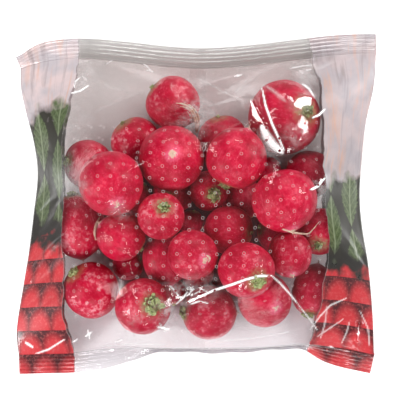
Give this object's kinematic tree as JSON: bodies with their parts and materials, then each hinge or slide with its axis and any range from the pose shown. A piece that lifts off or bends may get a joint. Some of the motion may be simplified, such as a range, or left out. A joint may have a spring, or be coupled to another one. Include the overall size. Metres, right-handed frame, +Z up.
{
  "type": "bag of radishes",
  "caption": "Sealed clear film pillow bag of loose round red radishes with trimmed stalks, lying on its back with crimped seals at both ends.",
  "frame": {"origin": "on the surface that the bag lies on, under the middle of the bag's outline", "axes": "+X across the bag, +Y towards its top seal, +Z up from the surface"},
  "size_m": [0.1986, 0.1874, 0.0721],
  "materials": {
    "film": "clear flexible plastic film with printed side bands",
    "radish_skin": "smooth, slightly waxy crimson skin"
  },
  "bodies": {
    "root": {"radish_01": "radish_skin", "radish_02": "radish_skin", "radish_03": "radish_skin", "radish_04": "radish_skin", "radish_05": "radish_skin", "radish_06": "radish_skin", "radish_07": "radish_skin", "radish_08": "radish_skin", "radish_09": "radish_skin", "radish_10": "radish_skin", "radish_11": "radish_skin", "radish_12": "radish_skin", "radish_13": "radish_skin", "radish_14": "radish_skin", "radish_15": "radish_skin", "radish_16": "radish_skin", "radish_17": "radish_skin", "radish_18": "radish_skin", "radish_19": "radish_skin", "radish_20": "radish_skin", "radish_21": "radish_skin", "radish_22": "radish_skin", "radish_23": "radish_skin", "radish_24": "radish_skin", "radish_25": "radish_skin", "radish_26": "radish_skin", "radish_27": "radish_skin", "radish_28": "radish_skin", "radish_29": "radish_skin", "radish_30": "radish_skin", "radish_31": "radish_skin", "radish_32": "radish_skin", "radish_33": "radish_skin", "radish_34": "radish_skin", "film_bag": "film"}
  },
  "joints": []
}
